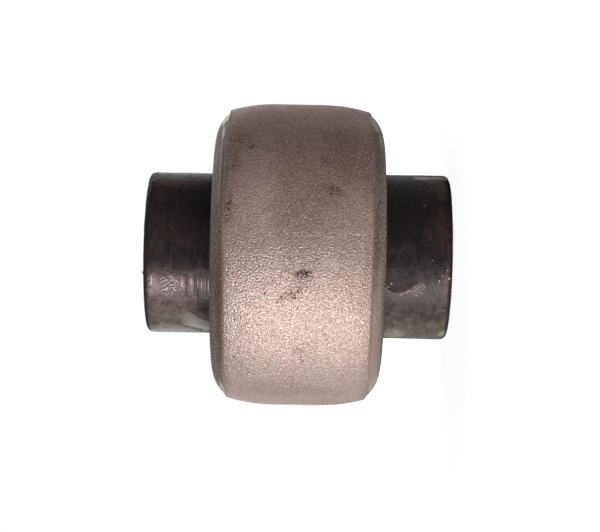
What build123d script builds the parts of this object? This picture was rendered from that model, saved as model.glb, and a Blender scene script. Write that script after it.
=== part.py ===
from build123d import *
from math import asin, degrees
import os

# Rubber metal bush: a steel outer sleeve with rolled-in ends, a moulded rubber body bonded
# inside it, and a plain steel inner sleeve that takes the bolt.
# The axis is Z, the origin is the middle of the bore and sizes are millimetres.

# Inner sleeve
bore_radius = 6.1
inner_sleeve_wall = 3.4
inner_sleeve_length = 44.8
bore_chamfer = 0.6
rim_chamfer = 0.3

# Rubber collars and the ring-shaped recesses round their roots
lower_collar_wall = 2.8
upper_collar_wall = 2.5
collar_end_setback = 0.1
collar_end_fillet = 0.9
recess_mouth = 3.6
recess_depth = 4.2
recess_floor_width = 1.9
recess_fillet = 0.8
lip_setback = 1.5

# Outer sleeve
outer_radius = 22.5
outer_sleeve_wall = 3.3
outer_sleeve_length = 24.9
land_length = 7.2
crown_radius = 23.5
crown_edge_fillet = 0.4
step_depth = 0.6
step_length = 0.35
rolled_end_length = 1.8
rolled_end_bulge = 0.45
rolled_wall_length = 3.95
rolled_wall_bulge = 0.8
lip_width = 1.1
lip_length = 3.0
lip_fillet = 0.5

inner_sleeve_radius = bore_radius + inner_sleeve_wall
lower_collar_radius = inner_sleeve_radius + lower_collar_wall
upper_collar_radius = inner_sleeve_radius + upper_collar_wall
collar_end = inner_sleeve_length / 2 - collar_end_setback
sleeve_end = outer_sleeve_length / 2
lip_radius = lower_collar_radius + recess_mouth
lip_start = sleeve_end - lip_length
inside_radius = outer_radius - outer_sleeve_wall
inside_land_end = lip_start - rolled_wall_length
recess_floor = sleeve_end - recess_depth
crown_start = land_length / 2
crown_end = sleeve_end - rolled_end_length - step_length


def inside_wall(side):
    # Inside of the outer sleeve from its middle to the lip, towards +Z or -Z as side says.
    land_end = (inside_radius, side * inside_land_end)
    Line((inside_radius, 0), land_end)
    SagittaArc(land_end, (lip_radius, side * lip_start), -side * rolled_wall_bulge)


def rubber_end(side, collar_radius):
    # The rubber's edge on the lip, the recess behind it and the collar, as one line of corners.
    rubber_edge = (lip_radius, side * (sleeve_end - lip_setback))
    floor_outside = (collar_radius + recess_floor_width, side * recess_floor)
    floor_inside = (collar_radius, side * recess_floor)
    collar_corner = (collar_radius, side * collar_end)
    Polyline((lip_radius, side * lip_start), rubber_edge, floor_outside, floor_inside, collar_corner)
    Line(collar_corner, (inner_sleeve_radius, side * collar_end))
    return {floor_outside: recess_fillet, floor_inside: recess_fillet, collar_corner: collar_end_fillet}


def round_corners(section, corners):
    for corner, radius in corners.items():
        fillet(section.vertices().sort_by_distance(corner)[0], radius)


# Inner sleeve: a plain tube, chamfered at both ends
with BuildPart() as inner_sleeve:
    Cylinder(inner_sleeve_radius, inner_sleeve_length)
    Cylinder(bore_radius, inner_sleeve_length, mode=Mode.SUBTRACT)
    rims = inner_sleeve.edges().filter_by(GeomType.CIRCLE).group_by(SortBy.RADIUS)
    chamfer(rims[0], bore_chamfer)
    chamfer(rims[-1], rim_chamfer)
inner_sleeve.part.label = "inner_sleeve"

# Rubber body: one moulding, bonded to both sleeves, with a collar out of each end
with BuildPart() as rubber_body:
    with BuildSketch(Plane.XZ) as rubber_section:
        with BuildLine():
            inside_wall(1)
            inside_wall(-1)
            upper_corners = rubber_end(1, upper_collar_radius)
            lower_corners = rubber_end(-1, lower_collar_radius)
            Line((inner_sleeve_radius, -collar_end), (inner_sleeve_radius, collar_end))
        make_face()
        round_corners(rubber_section, upper_corners)
        round_corners(rubber_section, lower_corners)
    revolve(axis=Axis.Z)
rubber_body.part.label = "rubber_body"

# Outer sleeve: one ring, crowned outside, its ends rolled inwards behind a small step
with BuildPart() as outer_sleeve:
    with BuildSketch(Plane.XZ) as sleeve_section:
        with BuildLine():
            crown_turn = degrees(asin((crown_end - crown_start) / crown_radius))
            Line((outer_radius, 0), (outer_radius, crown_start))
            crown = CenterArc((outer_radius - crown_radius, crown_start), crown_radius, 0, crown_turn)
            step = Line(crown @ 1, crown @ 1 + Vector(-step_depth, step_length))
            rolled_end_foot = (lip_radius + lip_width, sleeve_end)
            SagittaArc(step @ 1, rolled_end_foot, -rolled_end_bulge)
            Polyline(rolled_end_foot, (lip_radius, sleeve_end), (lip_radius, lip_start))
            inside_wall(1)
            Line((inside_radius, 0), (outer_radius, 0))
        make_face()
        outside_corners = {tuple(crown @ 1): crown_edge_fillet, (lip_radius, sleeve_end): lip_fillet}
        round_corners(sleeve_section, outside_corners)
        mirror(about=Plane.XZ)
    revolve(axis=Axis.Z)
outer_sleeve.part.label = "outer_sleeve"

os.makedirs("parts", exist_ok=True)
for piece in (outer_sleeve, rubber_body, inner_sleeve):
    export_step(piece.part, "parts/" + piece.part.label + ".step")
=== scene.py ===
import bpy
import math
from mathutils import Matrix, Vector, noise


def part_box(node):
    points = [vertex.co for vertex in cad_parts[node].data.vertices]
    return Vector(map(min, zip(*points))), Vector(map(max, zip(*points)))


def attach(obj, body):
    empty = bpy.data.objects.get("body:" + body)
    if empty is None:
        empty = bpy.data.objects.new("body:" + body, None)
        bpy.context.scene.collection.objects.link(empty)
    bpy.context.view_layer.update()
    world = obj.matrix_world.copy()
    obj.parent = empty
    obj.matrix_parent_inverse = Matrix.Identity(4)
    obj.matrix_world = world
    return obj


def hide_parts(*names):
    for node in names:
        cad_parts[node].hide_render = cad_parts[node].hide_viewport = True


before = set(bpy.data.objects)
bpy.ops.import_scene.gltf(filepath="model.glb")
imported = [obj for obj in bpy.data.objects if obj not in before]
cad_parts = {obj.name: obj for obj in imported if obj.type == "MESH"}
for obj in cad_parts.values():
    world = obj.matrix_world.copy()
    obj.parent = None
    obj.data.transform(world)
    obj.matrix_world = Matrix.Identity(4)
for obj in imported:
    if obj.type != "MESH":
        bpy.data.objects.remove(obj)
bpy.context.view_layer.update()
mm = 0.001
noise.seed_set(1)  # the ridges bend the same way each run

# Rubber metal bush, standing on its larger collar with its axis upright.
# The photo shows it lying across the frame, so the camera is rolled a quarter turn.

# places that the frame gives
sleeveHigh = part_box("outer_sleeve")[1]
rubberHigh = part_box("rubber_body")[1]
tubeLow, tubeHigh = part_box("inner_sleeve")
sleeveRadius = sleeveHigh.x
sleeveEnd = sleeveHigh.z
collarEnd = rubberHigh.z
tubeRadius = tubeHigh.x
floorHeight = tubeLow.z

photo = {
    "width": 600,
    "height": 532,
    "focalPixels": 1752,
    "sensor": 36,
    "distance": 263.3 * mm,
    "offRight": -0.29 * mm,  # middle of the bush from the middle of the frame
    "offUp": 1.68 * mm,
    "roll": 0.0195,
}


# the photo's camera

def cameraAxes():
    turn = photo["roll"]
    right = Vector((math.sin(turn), 0, -math.cos(turn)))
    up = Vector((math.cos(turn), 0, math.sin(turn)))
    back = Vector((0, -1, 0))
    place = back * photo["distance"] - right * photo["offRight"] - up * photo["offUp"]
    return place, right, up, back


def photoPoint(pixel, radius):
    # where a pixel of the photo meets a cylinder of that radius round the axis
    place, right, up, back = cameraAxes()
    across = (pixel[0] + 0.5 - photo["width"] / 2) / photo["focalPixels"]
    down = (pixel[1] + 0.5 - photo["height"] / 2) / photo["focalPixels"]
    ray = right * across - up * down - back
    a = ray.x ** 2 + ray.y ** 2
    b = place.x * ray.x + place.y * ray.y
    c = place.x ** 2 + place.y ** 2 - radius ** 2
    reach = (-b - math.sqrt(max(b * b - a * c, 0))) / a
    return place + ray * reach


def addCamera():
    place, right, up, back = cameraAxes()
    turned = Matrix((right, up, back)).transposed()
    bpy.ops.object.camera_add(location=place, rotation=turned.to_euler())
    eye = bpy.context.object
    eye.name = "photoCamera"
    eye.data.sensor_width = photo["sensor"]
    eye.data.lens = photo["sensor"] * photo["focalPixels"] / photo["width"]
    eye.data.clip_start = 10 * mm
    bpy.context.scene.camera = eye


# small helpers

def dropSelection():
    bpy.ops.object.select_all(action="DESELECT")


def linear(red, green, blue):
    # a colour as seen on a screen, 0 to 255, to the shader's own scale
    def lift(value):
        value = value / 255
        return value / 12.92 if value <= 0.04045 else ((value + 0.055) / 1.055) ** 2.4
    return (lift(red), lift(green), lift(blue), 1)


def smooth(low, high, value):
    share = min(max((value - low) / (high - low), 0), 1)
    return share * share * (3 - 2 * share)


def straight(start, end, spacing):
    # points from start to end, the end left out
    count = max(1, round(math.dist(start, end) / spacing))
    return [tuple(a + (b - a) * i / count for a, b in zip(start, end)) for i in range(count)]


def bulged(start, end, bulge, spacing):
    # points along an arc that leaves its chord by bulge, to the left of the way it goes
    along = Vector(end) - Vector(start)
    chord = along.length
    along.normalize()
    side = Vector((-along.y, along.x)) * (1 if bulge > 0 else -1)
    high = abs(bulge)
    radius = (chord * chord / 4 + high * high) / (2 * high)
    half = 2 * math.atan(2 * high / chord)
    count = max(2, round(2 * half * radius / spacing))
    points = []
    for i in range(count):
        angle = half * (2 * i / count - 1)
        out = Vector(start) + along * (chord / 2 + radius * math.sin(angle))
        out += side * (radius * math.cos(angle) - radius + high)
        points.append((out.x, out.y))
    return points


def rounded(before, corner, after, radius, count):
    # the corner's arc, from the line before it to the line after it
    a = (Vector(before) - Vector(corner)).normalized()
    b = (Vector(after) - Vector(corner)).normalized()
    half = a.angle(b) / 2
    centre = Vector(corner) + (a + b).normalized() * radius / math.sin(half)
    first = Vector(corner) + a * radius / math.tan(half) - centre
    last = Vector(corner) + b * radius / math.tan(half) - centre
    turn = first.angle_signed(last)
    points = []
    for i in range(count + 1):
        spoke = first.copy()
        spoke.rotate(Matrix.Rotation(-turn * i / count, 2))
        points.append((centre.x + spoke.x, centre.y + spoke.y))
    return points


def turnedRing(name, profile, turns):
    # a closed outline of (radius, height) points, spun round the axis
    dropSelection()
    bpy.ops.mesh.primitive_plane_add(size=mm)
    ring = bpy.context.object
    ring.name = name
    bpy.ops.object.mode_set(mode="EDIT")
    bpy.ops.mesh.merge(type="CENTER")
    bpy.ops.transform.translate(value=(profile[0][0], 0, profile[0][1]))
    for last, place in zip(profile, profile[1:]):
        step = {"value": (place[0] - last[0], 0, place[1] - last[1])}
        bpy.ops.mesh.extrude_region_move(TRANSFORM_OT_translate=step)
    bpy.ops.object.mode_set(mode="OBJECT")
    ring.data.vertices[0].select = True
    bpy.ops.object.mode_set(mode="EDIT")
    bpy.ops.mesh.edge_face_add()
    bpy.ops.object.mode_set(mode="OBJECT")
    lathe = ring.modifiers.new("lathe", "SCREW")
    lathe.axis = "Z"
    lathe.angle = 2 * math.pi
    lathe.steps = turns
    lathe.render_steps = turns
    bpy.ops.object.modifier_apply(modifier="lathe")
    bpy.ops.object.mode_set(mode="EDIT")
    bpy.ops.mesh.select_all(action="SELECT")
    bpy.ops.mesh.normals_make_consistent(inside=False)
    bpy.ops.object.mode_set(mode="OBJECT")
    bpy.ops.object.shade_smooth()
    return ring


def refine(piece, wanted):
    # smaller faces where the marks are
    dropSelection()
    bpy.context.view_layer.objects.active = piece
    bpy.ops.object.mode_set(mode="EDIT")
    bpy.ops.mesh.select_all(action="DESELECT")
    bpy.ops.object.mode_set(mode="OBJECT")
    for face in piece.data.polygons:
        face.select = wanted(face.center)
    bpy.ops.object.mode_set(mode="EDIT")
    bpy.ops.mesh.select_mode(type="FACE")
    bpy.ops.mesh.subdivide(number_cuts=1)
    bpy.ops.mesh.select_mode(type="VERT")
    bpy.ops.object.mode_set(mode="OBJECT")


def push(piece, label, depth, weightAt, texture=None, middle=0.0):
    # moves the surface along its normals where weightAt says so, by depth
    dropSelection()
    bpy.context.view_layer.objects.active = piece
    group = piece.vertex_groups.new(name=label)
    levels = {}
    for vertex in piece.data.vertices:
        levels.setdefault(round(weightAt(vertex.co) * 150), []).append(vertex.index)
    for level, members in levels.items():
        if level > 0:
            group.add(members, level / 150, "REPLACE")
    layer = piece.modifiers.new(label, "DISPLACE")
    layer.strength = depth
    layer.mid_level = middle
    layer.vertex_group = label
    if texture:
        layer.texture = texture
        layer.texture_coords = "LOCAL"
    bpy.ops.object.modifier_apply(modifier=label)
    piece.vertex_groups.remove(piece.vertex_groups[label])


def paint(piece, label, valueAt):
    # keeps a value from 0 to 1 at each point of the surface, for the material to read
    layer = piece.data.attributes.new(label, "FLOAT", "POINT")
    layer.data.foreach_set("value", [min(valueAt(vertex.co), 1) for vertex in piece.data.vertices])


def clouds(name, size, depth=2):
    texture = bpy.data.textures.new(name, "CLOUDS")
    texture.noise_scale = size
    texture.noise_depth = depth
    return texture


def shiftFrom(point, middle):
    # how far a point lies from middle on the surface, to the photo's right and down
    turn = math.atan2(-point[0], -point[1]) - math.atan2(-middle[0], -middle[1])
    turn = (turn + math.pi) % (2 * math.pi) - math.pi
    return middle[2] - point[2], turn * math.hypot(middle[0], middle[1])


def nearLine(spot, line, width):
    # 1 on a line of points, falling to nothing at width from it
    nearest = width
    for start, end in zip(line, line[1:]):
        along = (end[0] - start[0], end[1] - start[1])
        share = (spot[0] - start[0]) * along[0] + (spot[1] - start[1]) * along[1]
        share = min(max(share / (along[0] ** 2 + along[1] ** 2), 0), 1)
        nearest = min(nearest, math.dist(spot, (start[0] + along[0] * share, start[1] + along[1] * share)))
    return 1 - smooth(0, width, nearest)


# helpers for materials

def addNode(tree, kind, inputs=None, **settings):
    made = tree.nodes.new(kind)
    for name, value in settings.items():
        setattr(made, name, value)
    for name, value in (inputs or {}).items():
        if isinstance(value, bpy.types.NodeSocket):
            tree.links.new(value, made.inputs[name])
        else:
            made.inputs[name].default_value = value
    return made


def maths(tree, operation, first, second=0.0):
    return addNode(tree, "ShaderNodeMath", {0: first, 1: second}, operation=operation).outputs[0]


def times(tree, first, second):
    return maths(tree, "MULTIPLY", first, second)


def larger(tree, first, second):
    return maths(tree, "MAXIMUM", first, second)


def restOf(tree, share):
    # what a share leaves of one
    return maths(tree, "SUBTRACT", 1.0, share)


def ramp(tree, value, low, high, start=0.0, end=1.0):
    ends = {"Value": value, "From Min": low, "From Max": high, "To Min": start, "To Max": end}
    return addNode(tree, "ShaderNodeMapRange", ends, interpolation_type="SMOOTHSTEP").outputs[0]


def mixColour(tree, share, first, second):
    made = tree.nodes.new("ShaderNodeMix")
    made.data_type = "RGBA"
    for slot, value in ((0, share), (6, first), (7, second)):
        if isinstance(value, bpy.types.NodeSocket):
            tree.links.new(value, made.inputs[slot])
        else:
            made.inputs[slot].default_value = value
    return made.outputs[2]


def layered(tree, base, layers):
    # colours laid over each other, the last on top: how much of each, and the colour
    for share, colour in layers:
        base = mixColour(tree, share, base, colour)
    return base


def axisPlaces(tree, place):
    # how far up in the photo, how far along the axis and how far out from it each spot is
    axes = addNode(tree, "ShaderNodeSeparateXYZ", {0: place})
    flat = addNode(tree, "ShaderNodeMapping", {"Vector": place, "Scale": (1, 1, 0)}).outputs[0]
    radius = addNode(tree, "ShaderNodeVectorMath", {0: flat}, operation="LENGTH").outputs["Value"]
    return axes.outputs["X"], axes.outputs["Z"], radius


def mottle(tree, place, size, detail=2.0, rough=0.5):
    # soft noise, size is the width of one blob
    inputs = {"Vector": place, "Scale": 1 / size, "Detail": detail, "Roughness": rough}
    return addNode(tree, "ShaderNodeTexNoise", inputs).outputs[0]


def ovalMasks(tree, place, radius, marks, ragged, size, outer=1.3, inner=0.5):
    # one mask for a list of marks: pixel in the photo, half width, half height, lean, strength
    torn = mottle(tree, place, size, 3)
    torn = times(tree, maths(tree, "SUBTRACT", torn, 0.5), ragged)
    total = None
    for pixel, wide, tall, lean, strength in marks:
        middle = photoPoint(pixel, radius)
        inward = Vector((-middle.x, -middle.y, 0)).normalized()
        right = Vector((0, 0, -1))
        down = inward.cross(right)
        turned = Matrix((right, down, inward)).transposed() @ Matrix.Rotation(lean, 3, "Z")
        frameOf = {"Vector": place, "Location": middle, "Rotation": turned.to_euler(),
                   "Scale": (wide * mm, tall * mm, 4 * mm)}
        local = addNode(tree, "ShaderNodeMapping", frameOf, vector_type="TEXTURE").outputs[0]
        reach = addNode(tree, "ShaderNodeVectorMath", {0: local}, operation="LENGTH").outputs["Value"]
        mask = ramp(tree, maths(tree, "ADD", reach, torn), outer, inner, 0, strength)
        total = mask if total is None else larger(tree, total, mask)
    return total


def allOvalMasks(tree, place, radius, piece):
    # a mask for each of a piece's lists of marks, by its name
    edges = piece["maskEdges"]
    return {name: ovalMasks(tree, place, radius, piece[name], *edge) for name, edge in edges.items()}


def screenColours(values):
    return {name: linear(*value) for name, value in values.items()}


def painted(tree, label):
    return addNode(tree, "ShaderNodeAttribute", attribute_name=label).outputs["Fac"]


def newMaterial(name):
    material = bpy.data.materials.new(name)
    material.use_nodes = True
    tree = material.node_tree
    shader = tree.nodes["Principled BSDF"]
    place = addNode(tree, "ShaderNodeTexCoord").outputs["Object"]
    return material, tree, shader, place


def wire(tree, shader, base, metal, gloss, rise, reach, strength):
    # the colour, how metallic and how rough it is, and the fine relief that shows in the light
    bump = addNode(tree, "ShaderNodeBump", {"Height": rise, "Distance": reach, "Strength": strength})
    results = {"Base Color": base, "Metallic": metal, "Roughness": gloss, "Normal": bump.outputs[0]}
    for name, value in results.items():
        tree.links.new(value, shader.inputs[name])


def dress(piece, material):
    piece.data.materials.clear()
    piece.data.materials.append(material)


# outer sleeve: crowned steel ring with rolled-in ends

sleeve = {
    "land": 3.6 * mm,
    "crownRadius": 23.5 * mm,
    "crownEdge": 0.4 * mm,
    "stepDepth": 0.6 * mm,
    "stepLength": 0.35 * mm,
    "rolledLength": 1.8 * mm,
    "rolledBulge": 0.45 * mm,
    "lipRadius": 15.9 * mm,
    "lipWidth": 1.1 * mm,
    "lipLength": 3.0 * mm,
    "lipEdge": 0.5 * mm,
    "wall": 3.3 * mm,
    "insideRollLength": 3.95 * mm,
    "insideRollBulge": 0.8 * mm,
    "turns": 580,
    "spacing": 0.235 * mm,
    "hiddenSpacing": 1.3 * mm,
    "grainSize": 0.5 * mm,
    "grainDepth": 0.008 * mm,
    "lumpSize": 2.6 * mm,
    "lumpDepth": 0.03 * mm,
    # pixel in the photo, half width and half height in mm, lean, strength
    "rust": [
        ((228, 204), 0.45, 2.5, 0.1, 1.0),
        ((215, 298), 0.4, 5.2, 0.0, 0.8),
        ((251, 144), 0.4, 0.6, 0.3, 1.0),
        ((245, 138), 1.2, 1.4, 0.0, 0.5),
        ((236, 160), 0.7, 1.4, 0.0, 0.4),
        ((334, 189), 1.7, 1.0, 0.2, 0.75),
        ((331, 193), 0.4, 0.25, 0.0, 1.0),
        ((237, 292), 1.0, 0.6, 0.0, 0.35),
        ((318, 289), 1.4, 0.7, -0.4, 0.15),
        ((226, 168), 0.3, 2.2, 0.0, 0.5),
    ],
    "soot": [
        ((306, 272.6), 0.8, 0.42, -0.15, 1.0),
        ((302, 273.6), 1.3, 0.7, -0.2, 0.8),
    ],
    "trail": [
        ((299, 285), 2.4, 1.2, -0.7, 0.6),
        ((289, 294), 1.9, 0.55, -0.4, 1.0),
        ((294, 296), 0.8, 0.45, 0.7, 1.0),
    ],
    "pits": [
        ((264, 293), 0.16, 0.18, 0.0, 0.9),
        ((234, 321), 0.17, 0.17, 0.0, 0.9),
        ((277, 302), 0.15, 0.13, 0.0, 0.8),
        ((282, 305), 0.17, 0.12, 0.5, 0.8),
        ((256, 307), 0.13, 0.13, 0.0, 0.7),
        ((240, 318), 0.16, 0.12, 0.0, 0.6),
        ((233, 359), 0.2, 0.2, 0.0, 0.7),
        ((302, 361), 0.18, 0.16, 0.0, 0.7),
        ((268, 327), 0.12, 0.12, 0.0, 0.5),
        ((341, 309), 0.12, 0.12, 0.0, 0.5),
        ((322, 298), 0.14, 0.1, 0.4, 0.6),
        ((305, 117), 0.18, 0.2, 0.0, 0.6),
        ((325, 138), 0.18, 0.16, 0.0, 0.6),
        ((233, 162), 0.16, 0.16, 0.0, 0.9),
        ((234, 179), 0.14, 0.14, 0.0, 0.7),
        ((377, 268), 0.22, 0.1, 0.0, 0.8),
    ],
    "smudges": [
        ((298, 350), 0.9, 0.8, 0.0, 0.35),
        ((324, 334), 0.3, 0.25, 0.0, 0.5),
        ((309, 328), 0.25, 0.2, 0.0, 0.4),
    ],
    # darker brown patches: discoloured steel and painted shade
    "aged": [
        ((352, 150), 4.2, 6.0, 0.0, 0.7),
        ((371, 158), 1.6, 7.5, 0.0, 0.8),
        ((328, 196), 3.2, 2.2, 0.3, 0.3),
        ((236, 140), 1.3, 4.0, 0.0, 0.4),
        ((290, 390), 8.0, 2.5, 0.0, 0.3),
        ((302, 236), 3.6, 6.0, 0.0, 0.4),
        ((354, 264), 3.2, 7.0, 0.0, 0.34),
    ],
    "fair": [((252, 176), 3.4, 8.5, 0.0, 1.0)],
    "bareAndHighlightDepth": 1.7 * mm,  # the bare metal and its painted highlight lie this much nearer the axis, on the rolled ends
    # how ragged each list's marks are, and the size of the rags
    "maskEdges": {
        "rust": (1.6, 0.5 * mm),
        "soot": (1.5, 0.35 * mm),
        "trail": (1.2, 0.4 * mm),
        "pits": (0.5, 0.2 * mm),
        "smudges": (1.0, 0.5 * mm),
        "aged": (1.4, 2 * mm),
        "fair": (1.4, 2 * mm),
    },
    # bare worn metal at the rolled ends' corners, painted pale as a highlight
    "bare": [
        ((226, 117), 0.75, 2.5, 0.0, 1.0),
        ((223.5, 130), 0.25, 2.2, 0.0, 0.5),
        ((374.5, 123), 0.95, 2.6, 0.0, 1.0),
        ((381, 133), 0.35, 2.4, 0.0, 0.6),
        ((373.5, 388), 0.65, 2.8, 0.0, 1.0),
        ((221.5, 387), 0.5, 2.2, 0.0, 0.9),
    ],
    "colours": {  # red, green and blue as seen on a screen, 0 to 255
        "blasted": (186, 158, 153),
        "blastedPale": (184, 162, 154),
        "blotch": (154, 127, 121),
        "rolledDark": (94, 76, 62),
        "rolledPale": (106, 86, 74),
        "warm": (184, 151, 138),
        "aged": (132, 101, 88),
        "fair": (216, 186, 177),
        "rolledHollow": (48, 37, 30),
        "rolledGlint": (164, 148, 138),
        "rolledClean": (188, 163, 154),
        "rolledShade": (72, 60, 54),
        # painted shade along the crown's edges
        "edge": (132, 108, 102),
        # dirt and painted shade in the corner at the step
        "corner": (98, 80, 75),
        "hollow": (118, 92, 85),
        "glint": (232, 212, 208),
        "darkSpeck": (112, 84, 78),
        "paleSpeck": (236, 220, 216),
        "rust": (98, 58, 40),
        "smudge": (112, 100, 94),
        "soot": (40, 34, 28),
        "trail": (92, 54, 48),
        "pit": (44, 26, 20),
        "bare": (214, 201, 192),
    },
}


def sleeveOutline():
    # half of the outline above the middle: outside to the lip, and back inside
    s = sleeve
    crownEnd = sleeveEnd - s["rolledLength"] - s["stepLength"]
    crownTurn = math.asin((crownEnd - s["land"]) / s["crownRadius"])
    crownDrop = s["crownRadius"] * (1 - math.cos(crownTurn))
    edge = (sleeveRadius - crownDrop, crownEnd)
    stepEnd = (edge[0] - s["stepDepth"], edge[1] + s["stepLength"])
    foot = (s["lipRadius"] + s["lipWidth"], sleeveEnd)
    lip = (s["lipRadius"], sleeveEnd)
    lipStart = (s["lipRadius"], sleeveEnd - s["lipLength"])
    insideEnd = (sleeveRadius - s["wall"], lipStart[1] - s["insideRollLength"])
    outside = straight((sleeveRadius, 0), (sleeveRadius, s["land"]), s["spacing"])
    crownSteps = round(crownTurn * s["crownRadius"] / s["spacing"])
    for i in range(crownSteps - 1):
        angle = crownTurn * i / crownSteps
        radius = sleeveRadius - s["crownRadius"] * (1 - math.cos(angle))
        outside.append((radius, s["land"] + s["crownRadius"] * math.sin(angle)))
    outside += rounded(outside[-1], edge, stepEnd, s["crownEdge"], 4)
    outside += [stepEnd]
    outside += bulged(stepEnd, foot, -s["rolledBulge"], s["spacing"])[1:]
    outside += [foot]
    outside += rounded(foot, lip, lipStart, s["lipEdge"], 5)
    inside = straight((s["lipRadius"], sleeveEnd - 2 * s["lipEdge"]), lipStart, s["hiddenSpacing"])
    inside += bulged(lipStart, insideEnd, s["insideRollBulge"], s["hiddenSpacing"])
    inside += [insideEnd, (insideEnd[0], insideEnd[1] / 2), (insideEnd[0], 0)]
    return outside, inside


def buildSleeve():
    s = sleeve
    outside, inside = sleeveOutline()
    half = outside + inside
    outline = [(radius, -height) for radius, height in reversed(half[1:-1])] + half
    ring = turnedRing("outerSleeve", outline, s["turns"])

    def outsideShare(point):
        radius = math.hypot(point.x, point.y)
        if radius < sleeveRadius - s["wall"] + 0.1 * mm and abs(point.z) < sleeveEnd - 1.2 * mm:
            return 0
        return smooth(s["lipRadius"] + 0.3 * mm, s["lipRadius"] + s["lipWidth"], radius)

    push(ring, "lumps", s["lumpDepth"], outsideShare, clouds("sleeveLumps", s["lumpSize"]), 0.85)
    push(ring, "grain", s["grainDepth"], outsideShare, clouds("sleeveGrain", s["grainSize"], 1), 0.9)
    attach(ring, "root")
    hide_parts("outer_sleeve")
    return ring


def steelZones(tree, place, shade):
    # the sleeve's rolled ends, the crown's edges and what lies higher or lower in the photo
    upward, height, radius = axisPlaces(tree, place)
    fromMiddle = maths(tree, "ABSOLUTE", height)
    rolled = ramp(tree, fromMiddle, 10.3 * mm, 10.75 * mm)
    # painted light: the rolled end paler on the lower side of the lower end, where the key light falls
    litLowSide = times(tree, ramp(tree, upward, 2 * mm, -10 * mm), ramp(tree, height, 0, -mm))
    tarnished = times(tree, rolled, ramp(tree, radius, 20.6 * mm, 20.0 * mm))
    patchy = ramp(tree, shade, 0.35, 0.5, 0.75, 1.0)
    # dirt and painted shade in the corner at the step between crown and rolled end, heavier on the upper side
    corner = times(tree, ramp(tree, fromMiddle, 10.05 * mm, 10.3 * mm), patchy)
    corner = times(tree, corner, ramp(tree, radius, 20.2 * mm, 20.7 * mm))
    low = ramp(tree, upward, 2 * mm, -4 * mm)
    lowEdge = ramp(tree, upward, 6 * mm, -2 * mm)
    return {
        # painted shade: the sleeve warmer in tone towards the upper side, away from the key light
        "warm": ramp(tree, upward, 0, 8 * mm, 0, 0.8),
        # painted shade: the crown darker towards its two edges, on the lower side
        "upperEdgeShade": times(tree, ramp(tree, height, 9.0 * mm, 10.2 * mm), low),
        "lowerEdgeShade": times(tree, ramp(tree, height, -8.6 * mm, -10.2 * mm), lowEdge),
        "rolled": rolled,
        "litLowSide": litLowSide,
        "tarnished": times(tree, tarnished, restOf(tree, litLowSide)),
        "shaded": times(tree, ramp(tree, radius, 20.0 * mm, 17.8 * mm), low),
        "smooth": times(tree, rolled, ramp(tree, radius, 19.0 * mm, 20.0 * mm, 0, 0.7)),
        "corner": times(tree, corner, ramp(tree, upward, 2 * mm, 8 * mm, 0.3, 0.95)),
    }


def steelMarks(tree, place, grain):
    # masks of the marks that the photo shows, broken up by the grain
    s = sleeve
    marks = allOvalMasks(tree, place, sleeveRadius, s)
    bare = ovalMasks(tree, place, sleeveRadius - s["bareAndHighlightDepth"], s["bare"], 1.2, 0.5 * mm)
    marks["bare"] = times(tree, bare, ramp(tree, mottle(tree, place, 0.35 * mm, 3), 0.4, 0.55, 0.35, 1.0))
    broken = ramp(tree, mottle(tree, place, 0.3 * mm, 2), 0.42, 0.55, 0.15, 1.0)
    marks["rust"] = times(tree, marks["rust"], broken)
    marks["soot"] = times(tree, marks["soot"], ramp(tree, grain, 0.64, 0.52, 0.4, 1.0))
    marks["trail"] = times(tree, marks["trail"], ramp(tree, grain, 0.53, 0.42, 0.1, 1.0))
    return marks


def crownColour(tree, place, shade, zones, marks, colours):
    blotch = mottle(tree, place, 4.5 * mm, 4)
    crown = mixColour(tree, ramp(tree, blotch, 0.35, 0.65), colours["blasted"], colours["blastedPale"])
    return layered(tree, crown, [
        (ramp(tree, shade, 0.45, 0.75, 0, 0.2), colours["blotch"]),
        # painted shade: warmer tone on the upper side
        (zones["warm"], colours["warm"]),
        # discoloured steel and painted shade
        (times(tree, marks["aged"], 0.9), colours["aged"]),
        (marks["fair"], colours["fair"]),
        # painted shade at the crown's two edges
        (times(tree, zones["upperEdgeShade"], 0.6), colours["edge"]),
        (times(tree, zones["lowerEdgeShade"], 0.45), colours["edge"]),
    ])


def rolledColour(tree, grain, shade, zones, colours):
    band = mixColour(tree, ramp(tree, shade, 0.35, 0.65), colours["rolledDark"], colours["rolledPale"])
    return layered(tree, band, [
        (ramp(tree, grain, 0.5, 0.36, 0, 0.75), colours["rolledHollow"]),
        (ramp(tree, grain, 0.54, 0.68, 0, 0.5), colours["rolledGlint"]),
        # painted light on the lit part of the rolled end
        (times(tree, zones["litLowSide"], 0.85), colours["rolledClean"]),
        (times(tree, zones["shaded"], 0.85), colours["rolledShade"]),
    ])


def steelColour(tree, place, grain, shade, zones, marks):
    colours = screenColours(sleeve["colours"])
    crown = crownColour(tree, place, shade, zones, marks, colours)
    band = rolledColour(tree, grain, shade, zones, colours)
    speckle = mottle(tree, place, 0.16 * mm, 0)
    rough = restOf(tree, times(tree, zones["smooth"], 0.7))
    return layered(tree, mixColour(tree, zones["rolled"], crown, band), [
        # dirt and painted shade in the step's corner
        (zones["corner"], colours["corner"]),
        (times(tree, ramp(tree, grain, 0.47, 0.3, 0, 0.5), rough), colours["hollow"]),
        (times(tree, ramp(tree, grain, 0.58, 0.7, 0, 0.65), rough), colours["glint"]),
        (times(tree, ramp(tree, speckle, 0.5, 0.36, 0, 0.3), rough), colours["darkSpeck"]),
        (times(tree, ramp(tree, speckle, 0.5, 0.64, 0, 0.26), rough), colours["paleSpeck"]),
        (marks["rust"], colours["rust"]),
        (marks["smudges"], colours["smudge"]),
        (marks["soot"], colours["soot"]),
        (marks["trail"], colours["trail"]),
        (marks["pits"], colours["pit"]),
        # bare metal with a painted highlight
        (times(tree, marks["bare"], 0.9), colours["bare"]),
    ])


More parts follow.
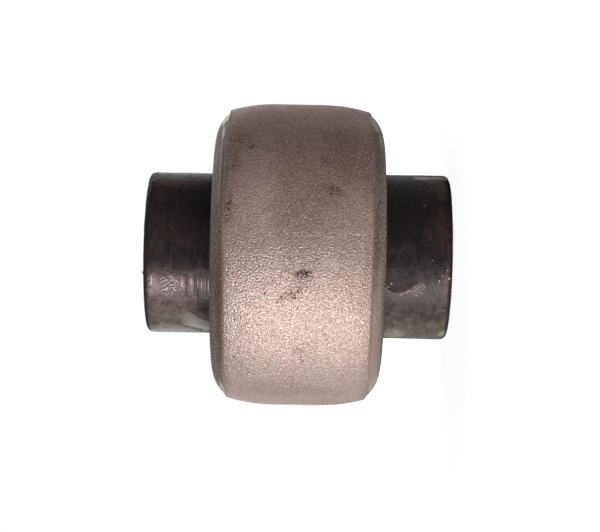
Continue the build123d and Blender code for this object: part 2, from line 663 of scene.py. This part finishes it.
def blastedSteel():
    material, tree, shader, place = newMaterial("blastedSteel")
    grain = mottle(tree, place, 0.222 * mm, 1)
    shade = mottle(tree, place, 2.2 * mm, 3)
    zones = steelZones(tree, place, shade)
    marks = steelMarks(tree, place, grain)
    base = steelColour(tree, place, grain, shade, zones, marks)
    filled = larger(tree, marks["soot"], marks["pits"])
    dull = larger(tree, filled, marks["rust"])
    dull = larger(tree, dull, times(tree, zones["tarnished"], 0.95))
    dull = larger(tree, dull, zones["corner"])
    metal = times(tree, restOf(tree, dull), 0.52)
    metal = larger(tree, larger(tree, metal, times(tree, marks["bare"], 0.9)), filled)
    gloss = ramp(tree, shade, 0.3, 0.7, 0.32, 0.4)
    gloss = maths(tree, "ADD", gloss, times(tree, dull, 0.32))
    gloss = addNode(tree, "ShaderNodeMix", {0: marks["bare"], 2: gloss, 3: 0.26}).outputs[0]
    strength = restOf(tree, times(tree, zones["smooth"], 0.55))
    strength = times(tree, strength, restOf(tree, times(tree, marks["bare"], 0.85)))
    wire(tree, shader, base, metal, gloss, grain, 0.16 * mm, strength)
    shader.inputs["Specular IOR Level"].default_value = 0.6
    shader.inputs["Specular Tint"].default_value = (1.0, 0.95, 0.91, 1)
    return material


# rubber body: one moulding with a collar out of each end

rubber = {
    "upperCollar": 12.0 * mm,
    "lowerCollar": 12.3 * mm,
    "recessDepth": 4.2 * mm,
    "recessFloor": 1.9 * mm,
    "recessEdge": 0.8 * mm,
    "lipSetback": 1.5 * mm,
    "collarEdge": 0.9 * mm,
    "turns": 360,
    "spacing": 0.21 * mm,
    "hiddenSpacing": 1.5 * mm,
    "wallDepth": 0.8 * mm,  # marks reach this far into the collar's rounded rim
    "marksHeight": 12.5 * mm,
    "marksBeside": 5.2 * mm,
    "marksAbove": 3.4 * mm,
    "marksBelow": {1: 10.6 * mm, -1: 3 * mm},
    "upperMiddle": (178, 290),  # pixels in the photo that the marks are laid out from
    "lowerMiddle": (418, 290),
    "creaseWidth": 0.19 * mm,
    "creaseDepth": 0.1 * mm,
    "creaseWear": 0.6 * mm,
    "upperCreases": [
        [(197.4, 290), (198, 303), (196.8, 314)],
        [(181, 324.5), (190, 327.5), (200, 330.4), (210, 333)],
    ],
    "lowerCreases": [
        [(389, 288), (392, 291.1), (398, 291.4), (403.6, 290), (408.6, 288), (412, 285.6), (416, 282.4)],
    ],
    "wedgeTop": [(176, 305), (184, 308), (190, 311.4), (194.5, 315), (201.4, 319), (210, 322.2),
                 (214, 323.6)],
    "wedgeBottom": [(176, 321.6), (185.7, 325.6), (193, 328.2), (200.7, 330.6), (210, 331.8), (214, 332)],
    "wedgeDepth": 0.3 * mm,
    "foldLine": [(383, 283), (388, 288), (392, 291.1), (398, 291.4), (403.6, 290), (408.6, 288), (412, 285.6),
                 (420, 279)],
    "foldReach": 2.9 * mm,
    "foldFront": 0.16 * mm,
    "foldDepth": 0.2 * mm,
    "grooves": [(185.6, 0.32), (194.8, 0.3), (199.2, 0.2), (202.8, 0.2), (206.2, 0.2)],  # pixel, width in mm
    "grooveDepth": 0.07 * mm,
    "grooveRow": 285,  # pixels down the photo: where the grooves are counted off, and their two ends
    "grooveTop": (195, 268),
    "grooveBottom": (195, 300),
    # fine ridges where the rubber crept in the mould: strength, then pixels in the photo
    "ridges": [
        (1.0, (160, 282.7), (162.1, 280.9), (165, 279.9), (168.6, 279.1), (171.4, 280.2)),
        (0.7, (160.4, 278.8), (161.4, 277.4), (164.3, 277.4), (166.4, 278.8)),
        (1.0, (166.8, 275.2), (169.3, 276.6), (171.8, 278.8), (173.9, 281.3), (175.4, 284.1)),
        (0.7, (170, 274.9), (172.5, 276.3), (175, 279.1), (177.1, 282)),
        (1.0, (168.6, 284.9), (170.7, 283.4), (172.9, 284.1), (174.3, 285.9), (175.7, 286.6)),
        (0.9, (169.3, 286.6), (171.4, 287.4), (173.6, 287)),
        (0.9, (160.7, 289.9), (162.9, 288.8), (165, 288.8), (167.1, 287)),
        (0.8, (165.4, 290.6), (166.8, 288.8), (167.5, 286.6)),
        (0.7, (168.6, 288.1), (169.3, 290.2), (171.4, 290.6)),
        (0.9, (172.5, 288.4), (174.3, 289.5), (176.1, 290.6)),
        (0.9, (163.6, 284.1), (165.7, 282.7), (168.6, 281.6)),
        (0.5, (160.7, 286.2), (162.5, 284.8), (164.4, 286)),
        (0.5, (176.4, 279.1), (177.9, 282.7), (177.1, 285.6)),
        (0.45, (164.6, 293.4), (166.4, 294.5), (167.1, 296.3)),
        (0.5, (167.1, 292), (169.3, 293.4)),
        (0.45, (170, 295.6), (171.4, 293.4), (172.9, 292)),
        (0.5, (176.6, 288.8), (179, 289.8), (180.6, 288.3), (183.4, 288.4), (184.6, 290)),
        (0.35, (385.2, 288.4), (387.8, 285.6), (389, 286)),
        (0.5, (390.6, 283), (391.4, 283.4)),
        (0.3, (387, 289.2), (389.4, 290.6), (391, 291)),
        (0.25, (385, 284.8), (386.6, 283.2)),
        (0.2, (422.6, 283.2), (423.9, 285.8), (424.4, 287.4)),
        (0.22, (419.8, 283.2), (421.4, 286), (422.9, 288.8)),
        (0.4, (417.5, 284.3), (418.6, 286.4), (419.2, 287.8)),
        (0.28, (414.6, 285.8), (417.1, 289.1), (422.1, 293.4)),
        (0.22, (413.2, 289.3), (415.9, 291.8), (418.4, 293.4)),
        (0.2, (410.6, 290.8), (414.3, 294)),
        (0.5, (404.8, 292.6), (407.6, 291.2), (409, 290.6)),
        (0.6, (396.4, 293), (397.2, 293)),
        (0.5, (399, 294.8), (400.6, 294)),
        (0.5, (402.6, 292.9), (403.4, 292.9)),
    ],
    "ridgeWidth": 0.135 * mm,
    "ridgeDepth": 0.11 * mm,
    "ridgeBend": 0.12 * mm,
    "ridgeAreas": [((169, 285), 1.9 * mm, 2.4 * mm), ((181, 289), 0.9 * mm, 0.5 * mm),
                   ((388.5, 287), 1.1 * mm, 1.3 * mm), ((414, 287), 2.6 * mm, 2.3 * mm)],
    "worn": ((430, 177), 2.9 * mm, 2.0 * mm),
    "wornDepth": 0.08 * mm,
    "nickSize": 0.6 * mm,
    "nickDepth": 0.14 * mm,
    "nickReach": 1.1 * mm,
    "whisker": [(146.5, 279), (144.2, 276.6), (142.6, 273.4), (141.4, 269.6)],  # pixels in the photo
    "whiskerRadius": 0.13 * mm,
    "swellSize": 3 * mm,
    "swellDepth": 0.06 * mm,
    "skinSize": 0.7 * mm,
    "skinDepth": 0.02 * mm,
    # pixel, half width and half height in mm, lean, strength
    # pale scuffs along the collars' top edges, painted near white as a glint
    "pale": [
        ((421.5, 176.9), 1.3, 1.1, 0.0, 1.0),
        ((431, 177.0), 1.0, 0.75, 0.0, 0.9),
        ((440, 177.1), 1.5, 0.8, 0.0, 0.8),
        ((157, 175.4), 0.25, 0.35, 0.0, 0.5),
    ],
    # pale bloom; at the collars' lower edges a painted reflection of light from below
    "bloom": [
        ((176, 332), 5.0, 2.4, 0.0, 0.6),
        ((168, 316), 3.0, 2.0, 0.2, 0.12),
        ((176, 177), 4.6, 1.6, 0.0, 0.2),
        ((392, 334), 1.8, 2.2, 0.0, 0.5),
        ((443, 334), 0.9, 1.2, 0.0, 0.8),
    ],
    "black": [
        ((404, 214), 4.8, 6.5, 0.0, 1.0),
        ((200, 208), 2.4, 4.0, 0.0, 0.6),
        ((416, 268), 6.0, 3.2, 0.0, 0.95),
        ((400, 277), 2.6, 1.8, 0.0, 0.8),
        ((176, 260), 5.6, 2.6, 0.0, 0.6),
        ((440, 272), 0.4, 1.6, 0.0, 0.7),
        ((418, 300), 6.4, 4.2, 0.0, 0.8),
        ((168.5, 285.5), 1.3, 1.8, 0.0, 0.5),
        ((203.5, 307), 1.1, 1.7, 0.0, 0.8),
        ((184, 276.5), 0.35, 0.4, 0.0, 0.8),
        ((195.3, 283), 0.22, 1.4, 0.0, 0.7),
        ((186.4, 283), 0.25, 0.8, 0.0, 0.6),
        ((184, 294), 1.2, 0.5, 0.3, 0.5),
    ],
    "dusty": [
        ((176, 178), 4.6, 1.8, 0.0, 0.9),
        ((160, 192), 1.3, 2.2, 0.0, 0.3),
        ((441, 190), 1.0, 2.4, 0.0, 0.7),
        ((400, 179), 0.8, 1.2, 0.0, 0.5),
        ((153, 287), 0.8, 2.4, 0.0, 0.7),
        ((447, 290), 0.8, 3.4, 0.0, 0.8),
        ((411, 292), 2.0, 1.0, -0.3, 0.7),
        ((388, 289), 0.7, 0.9, 0.0, 0.8),
        ((202, 286), 1.3, 1.2, 0.0, 0.6),
        ((186, 283), 1.6, 0.9, 0.0, 0.4),
    ],
    "brown": [
        ((438, 186), 1.7, 2.6, 0.0, 0.7),
        ((414, 180), 1.2, 0.8, 0.0, 0.5),
        ((166, 184), 3.2, 1.8, 0.0, 0.6),
        ((190, 178), 1.6, 1.0, 0.0, 0.5),
        ((441, 222), 0.8, 3.0, 0.0, 0.3),
    ],
    # pale flecks; the thin upright ones by the rim and next to the sleeve are painted highlights
    "flecks": [
        ((439, 281), 0.11, 0.11, 0.0, 1.0),
        ((449, 278.5), 0.12, 0.16, 0.4, 1.0),
        ((447, 270), 0.1, 0.1, 0.0, 0.8),
        ((442, 275.5), 0.08, 0.08, 0.0, 0.7),
        ((432, 260), 0.1, 0.1, 0.0, 0.4),
        ((424, 205), 0.2, 0.2, 0.0, 0.3),
        ((391, 283), 0.1, 0.12, 0.0, 0.8),
        ((416, 295), 0.14, 0.08, 0.4, 0.6),
        ((150.6, 281), 0.1, 0.8, 0.0, 0.6),
        ((197.3, 283.5), 0.07, 0.5, 0.0, 0.6),
        ((201, 285), 0.09, 0.8, 0.0, 0.8),
        ((204.6, 284), 0.07, 0.6, 0.0, 0.6),
        ((207.6, 286), 0.09, 0.9, 0.0, 0.8),
    ],
    "tan": [
        ((181.5, 280.8), 0.09, 0.5, 0.0, 0.8),
        ((181.2, 284.6), 0.2, 0.45, 0.1, 0.8),
        ((182.4, 287), 0.28, 0.16, 0.0, 0.6),
        ((190.8, 282.6), 0.14, 0.65, 0.0, 0.8),
    ],
    # how ragged each list's marks are, the size of the rags, and where the mask starts and is full
    "maskEdges": {
        "pale": (1.7, 0.3 * mm, 1.25, 0.75),
        "bloom": (1.2, 1.2 * mm),
        "black": (1.2, 1.5 * mm),
        "dusty": (1.2, 0.9 * mm),
        "brown": (1.5, 0.8 * mm),
        "flecks": (0.5, 0.25 * mm),
        "tan": (0.6, 0.3 * mm),
    },
    "colours": {  # red, green and blue as seen on a screen, 0 to 255
        "dark": (34, 30, 30),
        "darkRuddy": (46, 30, 31),
        "film": (120, 102, 99),
        "filmLow": (116, 109, 100),
        "black": (15, 15, 16),
        "bloom": (148, 144, 134),
        "brown": (88, 62, 58),
        "wedge": (176, 171, 162),
        "pocket": (26, 21, 21),
        "pocketBrown": (62, 46, 42),
        "ridge": (232, 212, 212),
        "crease": (22, 17, 17),
        "rim": (24, 22, 17),
        "pale": (198, 187, 179),
        "fleck": (196, 182, 180),
        "tan": (176, 138, 116),
    },
}


def rubberHalf(side, collar):
    # from the middle of the bonded outside to the bore side, above or below
    r = rubber
    s = sleeve
    lipStart = (s["lipRadius"], sleeveEnd - s["lipLength"])
    insideEnd = (sleeveRadius - s["wall"], lipStart[1] - s["insideRollLength"])
    edge = (s["lipRadius"], sleeveEnd - r["lipSetback"])
    floorOut = (collar + r["recessFloor"], sleeveEnd - r["recessDepth"])
    floorIn = (collar, floorOut[1])
    corner = (collar, collarEnd)
    bore = (tubeRadius, collarEnd)
    points = [(insideEnd[0], 0), (insideEnd[0], insideEnd[1] / 2)]
    points += bulged(insideEnd, lipStart, -s["insideRollBulge"], r["hiddenSpacing"])
    points += straight(lipStart, edge, r["hiddenSpacing"])
    points += straight(edge, floorOut, 0.4 * mm)[:-2]
    points += rounded(edge, floorOut, floorIn, r["recessEdge"], 5)
    points += rounded(floorOut, floorIn, corner, r["recessEdge"], 5)
    wallStart = (collar, floorIn[1] + r["recessEdge"] + r["spacing"])
    wallEnd = (collar, collarEnd - r["collarEdge"] - r["spacing"])
    points += straight(wallStart, wallEnd, r["spacing"])
    points += rounded(wallEnd, corner, bore, r["collarEdge"], 7)
    points += straight((collar - r["collarEdge"] - r["spacing"], collarEnd), bore, 0.35 * mm)
    points += [bore]
    return [(radius, side * height) for radius, height in points]


def addWhisker(body):
    # a thread of rubber that the mould left standing at the rim
    r = rubber
    spots = [photoPoint(pixel, r["upperCollar"] - 0.5 * mm) for pixel in r["whisker"]]
    dropSelection()
    upright = (spots[1] - spots[0]).to_track_quat("Z", "Y").to_euler()
    bpy.ops.mesh.primitive_circle_add(vertices=8, radius=r["whiskerRadius"], fill_type="NGON",
                                      location=spots[0], rotation=upright)
    bpy.ops.object.transform_apply(location=True, rotation=True, scale=True)
    thread = bpy.context.object
    bpy.ops.object.mode_set(mode="EDIT")
    for last, spot in zip(spots, spots[1:]):
        bpy.ops.mesh.extrude_region_move(TRANSFORM_OT_translate={"value": spot - last})
        bpy.ops.transform.resize(value=(0.72, 0.72, 0.72), center_override=spot)
    bpy.ops.mesh.select_all(action="SELECT")
    bpy.ops.mesh.normals_make_consistent(inside=False)
    bpy.ops.object.mode_set(mode="OBJECT")
    bpy.ops.object.shade_smooth()
    body.select_set(True)
    bpy.context.view_layer.objects.active = body
    bpy.ops.object.join()


# the marks that the mould left on both collars, laid out as the photo shows them
# side is 1 for the upper collar, at the photo's left, and -1 for the lower one

collarRadius = {1: rubber["upperCollar"], -1: rubber["lowerCollar"]}
collarMiddle = {
    1: photoPoint(rubber["upperMiddle"], collarRadius[1]),
    -1: photoPoint(rubber["lowerMiddle"], collarRadius[-1]),
}


def sideOf(point):
    return 1 if point[2] > 0 else -1


def sideAt(pixel):
    return 1 if pixel[0] < photo["width"] / 2 else -1


def spotOf(point):
    # place on the unrolled collar: across and down from the middle of its marks
    return shiftFrom(point, collarMiddle[sideOf(point)])


def spotAt(pixel):
    side = sideAt(pixel)
    return shiftFrom(photoPoint(pixel, collarRadius[side]), collarMiddle[side])


def reachIn(spot, middle, wide, tall):
    # 0 at the middle of an oval and 1 on its edge
    return math.hypot((spot[0] - middle[0]) / wide, (spot[1] - middle[1]) / tall)


def onWall(point):
    radius = math.hypot(point.x, point.y)
    return abs(point.z) > rubber["marksHeight"] and radius > collarRadius[sideOf(point)] - rubber["wallDepth"]


def markedZone(point):
    r = rubber
    across, down = spotOf(point)
    lowest = r["marksBelow"][sideOf(point)]
    inside = abs(across) < r["marksBeside"] and -r["marksAbove"] < down < lowest
    return onWall(point) and inside and abs(point.z) < collarEnd


def ridgeZone():
    areas = {1: [], -1: []}
    for pixel, wide, tall in rubber["ridgeAreas"]:
        areas[sideAt(pixel)].append((spotAt(pixel), wide, tall))

    def inside(point):
        spot = spotOf(point)
        near = (reachIn(spot, *area) < 1 for area in areas[sideOf(point)])
        return onWall(point) and any(near)
    return inside


def creaseWeight():
    lines = {1: rubber["upperCreases"], -1: rubber["lowerCreases"]}
    lines = {side: [[spotAt(pixel) for pixel in line] for line in group] for side, group in lines.items()}

    def weight(point):
        if not markedZone(point):
            return 0
        worn = 0.8 + 1.2 * noise.noise(point / rubber["creaseWear"])
        nearest = max(nearLine(spotOf(point), line, rubber["creaseWidth"]) for line in lines[sideOf(point)])
        return min(max(worn, 0), 1) * nearest
    return weight


def grooveWeight():
    r = rubber
    grooves = [(spotAt((pixel, r["grooveRow"]))[0], width * mm / 2) for pixel, width in r["grooves"]]
    start, end = spotAt(r["grooveTop"])[1], spotAt(r["grooveBottom"])[1]

    def weight(point):
        across, down = spotOf(point)
        if not onWall(point) or point.z < 0 or not start < down < end:
            return 0
        ends = smooth(start, start + mm, down) * (1 - smooth(end - mm, end, down))
        return ends * max(1 - smooth(0, width, abs(across - middle)) for middle, width in grooves)
    return weight


def lineHeight(line, across):
    # how far down a line of spots lies there, or nothing past its ends
    for start, end in zip(line, line[1:]):
        if start[0] <= across <= end[0]:
            return start[1] + (end[1] - start[1]) * (across - start[0]) / (end[0] - start[0])
    return None


def wedgeWeight():
    # a hollow between two lines, deepest at its lower edge
    top = [spotAt(pixel) for pixel in rubber["wedgeTop"]]
    bottom = [spotAt(pixel) for pixel in rubber["wedgeBottom"]]

    def weight(point):
        if point.z < 0 or not onWall(point):
            return 0
        across, down = spotOf(point)
        above = lineHeight(top, across)
        below = lineHeight(bottom, across)
        if above is None or below is None:
            return 0
        share = (down - above) / (below - above)
        share = (0.35 + 0.65 * share) * smooth(0, 0.1, share) if share < 1 else 1 - smooth(1, 1.1, share)
        return share * smooth(top[0][0], top[2][0] + 0.6 * mm, across)
    return weight


def foldWeight():
    # a fold that stands up sharply at its line and runs out above it
    line = [spotAt(pixel) for pixel in rubber["foldLine"]]
    start, end = line[0][0], line[-1][0]

    def weight(point):
        if point.z > 0 or not onWall(point):
            return 0
        across, down = spotOf(point)
        height = lineHeight(line, across)
        if height is None:
            return 0
        ends = smooth(start, start + mm, across) * (1 - smooth(end - 1.4 * mm, end, across))
        above = height - down
        if above > 0:
            return ends * (1 - smooth(0, rubber["foldReach"], above))
        return ends * (1 - smooth(0, rubber["foldFront"], -above))
    return weight


def ridgeWeight(closeUp):
    strokes = {1: [], -1: []}
    for strength, *line in rubber["ridges"]:
        strokes[sideAt(line[0])].append((strength, [spotAt(pixel) for pixel in line]))

    def weight(point):
        if not closeUp(point):
            return 0
        across, down = spotOf(point)
        bend = noise.noise_vector(Vector((across, down, 0)) / (0.5 * mm)) * rubber["ridgeBend"]
        spot = (across + bend.x, down + bend.y)
        worn = 0.8 + 0.9 * noise.noise(Vector((across, down, 5 * mm)) / (0.35 * mm))
        nearest = max(strength * nearLine(spot, line, rubber["ridgeWidth"])
                      for strength, line in strokes[sideOf(point)])
        return max(worn, 0) * nearest
    return weight


def wornWeight():
    pixel, wide, tall = rubber["worn"]
    middle = spotAt(pixel)

    def weight(point):
        if point.z > 0 or not onWall(point):
            return 0
        return 1 - smooth(0.8, 1, reachIn(spotOf(point), middle, wide, tall))
    return weight


def nickWeight(point):
    radius = math.hypot(point.x, point.y)
    reach = rubber["nickReach"]
    if abs(point.z) < collarEnd - reach or radius < collarRadius[sideOf(point)] - reach:
        return 0
    return min(max(noise.noise(point / rubber["nickSize"]) * 3 - 0.8, 0), 1)


def collarWeight(point):
    # both collars' outsides and ends, without what is bonded
    radius = math.hypot(point.x, point.y)
    along = smooth(11.5 * mm, 12.5 * mm, abs(point.z))
    return along * smooth(10 * mm, 11 * mm, radius) * smooth(15.5 * mm, 14.5 * mm, radius)


def markCollars(body):
    r = rubber
    closeUp = ridgeZone()
    refine(body, markedZone)
    refine(body, closeUp)
    marks = {
        "ridge": ridgeWeight(closeUp),
        "crease": creaseWeight(),
        "wedge": wedgeWeight(),
        "fold": foldWeight(),
    }
    for label, weight in marks.items():
        paint(body, label, weight)
    push(body, "swell", r["swellDepth"], collarWeight, clouds("rubberSwell", r["swellSize"]), 0.75)
    push(body, "skin", r["skinDepth"], collarWeight, clouds("rubberSkin", r["skinSize"]), 0.75)
    push(body, "fold", r["foldDepth"], marks["fold"])
    push(body, "wedge", -r["wedgeDepth"], marks["wedge"])
    push(body, "worn", -r["wornDepth"], wornWeight())
    push(body, "ridges", r["ridgeDepth"], marks["ridge"])
    push(body, "grooves", -r["grooveDepth"], grooveWeight())
    push(body, "creases", -r["creaseDepth"], marks["crease"])
    push(body, "nicks", -r["nickDepth"], nickWeight)


def buildRubber():
    r = rubber
    above = rubberHalf(1, r["upperCollar"])
    below = rubberHalf(-1, r["lowerCollar"])
    boreSide = straight(above[-1], below[-1], 3 * mm)[1:]
    outline = list(reversed(below[1:])) + above + boreSide
    body = turnedRing("rubberBody", outline, r["turns"])
    markCollars(body)
    addWhisker(body)
    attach(body, "root")
    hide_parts("rubber_body")
    return body


def dustShare(tree, upward, skin, dust, streaks, smeared):
    # dust lies in streaks round the collars and where it is smeared, and the film is heavier towards the
    # lower side
    thicker = ramp(tree, upward, 0.5 * mm, -8 * mm, 0.06, 0.42)
    dusty = times(tree, ramp(tree, dust, 0.35, 0.65, 0.6, 1.2), thicker)
    dusty = times(tree, ramp(tree, skin, 0.35, 0.65, 0.75, 1.2), dusty)
    dusty = maths(tree, "ADD", dusty, times(tree, ramp(tree, streaks, 0.5, 0.7), 0.1))
    return larger(tree, dusty, times(tree, smeared, ramp(tree, skin, 0.3, 0.6, 0.35, 0.8)))


def rubberColour(tree, upward, skin, dust, ruddy, dusty, masks, marks):
    # masks are the stains placed from the photo, some of them painted highlights and reflections; marks are
    # kept at the points of the surface
    colours = screenColours(rubber["colours"])
    dark = mixColour(tree, ramp(tree, ruddy, 0.4, 0.65), colours["dark"], colours["darkRuddy"])
    # painted reflection: the film more neutral in tone near the lower edge
    film = mixColour(tree, ramp(tree, upward, -6 * mm, -11.5 * mm), colours["film"], colours["filmLow"])
    pocket = mixColour(tree, ramp(tree, ruddy, 0.42, 0.62), colours["pocket"], colours["pocketBrown"])
    return layered(tree, mixColour(tree, dusty, dark, film), [
        (times(tree, masks["black"], 0.75), colours["black"]),
        # bloom, and a painted reflection at the lower edges
        (times(tree, masks["bloom"], ramp(tree, dust, 0.35, 0.6, 0.5, 1.0)), colours["bloom"]),
        (times(tree, masks["brown"], ramp(tree, ruddy, 0.38, 0.58, 0.2, 1.0)), colours["brown"]),
        # painted light: the wedge's facet paler where it faces the light
        (times(tree, marks["wedge"], 0.7), colours["wedge"]),
        # painted shade in the fold's hollow, with brown blotches
        (times(tree, marks["fold"], ramp(tree, dust, 0.6, 0.4, 0.5, 0.95)), pocket),
        # the ridges paler: worn rubber with a painted highlight
        (times(tree, marks["ridge"], 0.85), colours["ridge"]),
        (times(tree, marks["crease"], 0.6), colours["crease"]),
        (times(tree, marks["rim"], 0.85), colours["rim"]),
        # scuffs with a painted glint
        (times(tree, masks["pale"], ramp(tree, skin, 0.35, 0.6, 0.4, 1.0)), colours["pale"]),
        # flecks and painted highlights
        (masks["flecks"], colours["fleck"]),
        (masks["tan"], colours["tan"]),
    ])


def blackRubber():
    material, tree, shader, place = newMaterial("blackRubber")
    axes = addNode(tree, "ShaderNodeSeparateXYZ", {0: place})
    upward, height = axes.outputs["X"], axes.outputs["Z"]
    skin = mottle(tree, place, 0.32 * mm, 2)
    dust = mottle(tree, place, 1.3 * mm, 5, 0.65)
    ruddy = mottle(tree, place, 0.9 * mm, 3, 0.6)
    streaks = addNode(tree, "ShaderNodeMapping", {"Vector": place, "Scale": (1, 1, 4)}).outputs[0]
    streaks = mottle(tree, streaks, 2 * mm, 3)
    masks = allOvalMasks(tree, place, rubber["lowerCollar"], rubber)
    marks = {label: painted(tree, label) for label in ("ridge", "crease", "wedge", "fold")}
    fromMiddle = maths(tree, "ABSOLUTE", height)
    marks["rim"] = ramp(tree, fromMiddle, collarEnd - 0.75 * mm, collarEnd - 0.4 * mm)
    dusty = dustShare(tree, upward, skin, dust, streaks, masks["dusty"])
    base = rubberColour(tree, upward, skin, dust, ruddy, dusty, masks, marks)
    gloss = ramp(tree, dust, 0.35, 0.65, 0.23, 0.34)
    gloss = maths(tree, "ADD", gloss, ramp(tree, streaks, 0.4, 0.65, 0, 0.1))
    matt = larger(tree, larger(tree, marks["rim"], marks["fold"]), marks["crease"])
    gloss = maths(tree, "ADD", gloss, times(tree, matt, 0.4))
    gloss = maths(tree, "ADD", gloss, ramp(tree, height, mm, -mm, 0, 0.06))
    gloss = maths(tree, "SUBTRACT", gloss, times(tree, marks["ridge"], 0.1))
    gloss = addNode(tree, "ShaderNodeMix", {0: masks["pale"], 2: gloss, 3: 0.08}).outputs[0]
    metal = times(tree, masks["pale"], 0.65)
    rise = maths(tree, "ADD", skin, times(tree, ruddy, 0.8))
    flatter = times(tree, restOf(tree, masks["pale"]), 0.6)
    wire(tree, shader, base, metal, gloss, rise, 0.06 * mm, flatter)
    shader.inputs["Specular IOR Level"].default_value = 0.36
    shader.inputs["Specular Tint"].default_value = (1.0, 0.84, 0.84, 1)
    return material


# inner sleeve: plain steel tube

tube = {
    "bore": 6.1 * mm,
    "boreChamfer": 0.6 * mm,
    "toolMark": 0.09 * mm,
    "colours": {  # red, green and blue as seen on a screen, 0 to 255
        "steel": (172, 168, 163),
        "stain": (146, 138, 131),
        "ring": (112, 106, 101),
        "inside": (104, 96, 90),
        "rust": (112, 78, 62),
    },
}


def turnedSteel():
    t = tube
    colours = screenColours(t["colours"])
    material, tree, shader, place = newMaterial("turnedSteel")
    height, radius = axisPlaces(tree, place)[1:]
    turning = addNode(tree, "ShaderNodeCombineXYZ", {0: radius, 2: height}).outputs[0]
    rings = mottle(tree, turning, t["toolMark"], 3, 0.6)
    stain = mottle(tree, place, 2.6 * mm, 4)
    film = mottle(tree, place, 0.6 * mm, 4, 0.6)
    inside = ramp(tree, radius, t["bore"] + t["boreChamfer"], t["bore"])
    rust = times(tree, ramp(tree, film, 0.52, 0.68), ramp(tree, stain, 0.45, 0.6, 0.1, 0.8))
    rust = times(tree, rust, ramp(tree, radius, tubeRadius - 1.6 * mm, tubeRadius, 0.3, 0.9))
    base = mixColour(tree, ramp(tree, stain, 0.4, 0.7), colours["steel"], colours["stain"])
    base = layered(tree, base, [
        (ramp(tree, rings, 0.45, 0.7, 0, 0.5), colours["ring"]),
        (times(tree, inside, 0.6), colours["inside"]),
        (rust, colours["rust"]),
    ])
    metal = maths(tree, "SUBTRACT", 0.95, rust)
    gloss = maths(tree, "ADD", ramp(tree, rings, 0.4, 0.7, 0.24, 0.36), times(tree, rust, 0.4))
    wire(tree, shader, base, metal, gloss, rings, 0.012 * mm, 0.7)
    return material


# studio

studio = {
    "ambient": 0.13,
    "mirroredFront": 0.12,
    "mirroredBack": 0.9,
    "floorSize": 3.0,
    "floorColour": (0.86, 0.86, 0.85, 1),
    "floorGlow": 0.7,
    "floorWhite": 1.3,
    # direction, distance, width and height, power
    "key": ((-0.75, -0.66, -0.18), 0.55, (0.26, 0.6), 4.75),
    "back": ((0.35, 0.6, 0.72), 0.7, (0.5, 0.5), 1.6),
}


def addWorld():
    world = bpy.data.worlds.new("studioWorld")
    bpy.context.scene.world = world
    world.use_nodes = True
    tree = world.node_tree
    background = tree.nodes["Background"]
    way = addNode(tree, "ShaderNodeTexCoord").outputs["Generated"]
    depth = addNode(tree, "ShaderNodeSeparateXYZ", {0: way}).outputs["Y"]
    mirrored = ramp(tree, depth, 0.5, 1.0, studio["mirroredFront"], studio["mirroredBack"])
    rays = addNode(tree, "ShaderNodeLightPath")
    shiny = larger(tree, rays.outputs["Is Glossy Ray"], rays.outputs["Is Transmission Ray"])
    level = times(tree, shiny, maths(tree, "SUBTRACT", mirrored, studio["ambient"]))
    level = maths(tree, "ADD", level, studio["ambient"])
    level = larger(tree, level, rays.outputs["Is Camera Ray"])
    background.inputs["Color"].default_value = (1, 1, 1, 1)
    tree.links.new(level, background.inputs["Strength"])


def addFloor():
    dropSelection()
    bpy.ops.mesh.primitive_plane_add(size=studio["floorSize"], location=(0, 0, floorHeight))
    floor = bpy.context.object
    floor.name = "studioFloor"
    floor.visible_shadow = False  # the key light reaches under the bush as well
    material = bpy.data.materials.new("paleFloor")
    material.use_nodes = True
    tree = material.node_tree
    shader = tree.nodes["Principled BSDF"]
    shader.inputs["Base Color"].default_value = studio["floorColour"]
    shader.inputs["Roughness"].default_value = 0.9
    glow = addNode(tree, "ShaderNodeEmission", {"Color": (1, 1, 1, 1), "Strength": studio["floorWhite"]})
    rays = addNode(tree, "ShaderNodeLightPath")
    place = addNode(tree, "ShaderNodeTexCoord").outputs["Object"]
    away = addNode(tree, "ShaderNodeVectorMath", {0: place}, operation="LENGTH").outputs["Value"]
    share = ramp(tree, away, 30 * mm, 110 * mm, studio["floorGlow"], 1.0)
    seen = times(tree, rays.outputs["Is Camera Ray"], share)
    both = addNode(tree, "ShaderNodeMixShader", {0: seen, 1: shader.outputs[0], 2: glow.outputs[0]})
    tree.links.new(both.outputs[0], tree.nodes["Material Output"].inputs["Surface"])
    dress(floor, material)


def addLamp(name):
    direction, distance, size, power = studio[name]
    towards = Vector(direction).normalized()
    bpy.ops.object.light_add(type="AREA", location=towards * distance)
    lamp = bpy.context.object
    lamp.name = name + "Lamp"
    lamp.data.shape = "RECTANGLE"
    lamp.data.size, lamp.data.size_y = size
    lamp.data.energy = power
    lamp.rotation_euler = towards.to_track_quat("Z", "Y").to_euler()


addCamera()
addWorld()
addFloor()
for name in ("key", "back"):
    addLamp(name)
print("camera and light ready")

outerSleeve = buildSleeve()
dress(outerSleeve, blastedSteel())
print("outer sleeve", len(outerSleeve.data.polygons))
rubberBody = buildRubber()
dress(rubberBody, blackRubber())
print("rubber body", len(rubberBody.data.polygons))
dress(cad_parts["inner_sleeve"], turnedSteel())
print("inner sleeve dressed")

bpy.context.scene.view_settings.view_transform = "Standard"
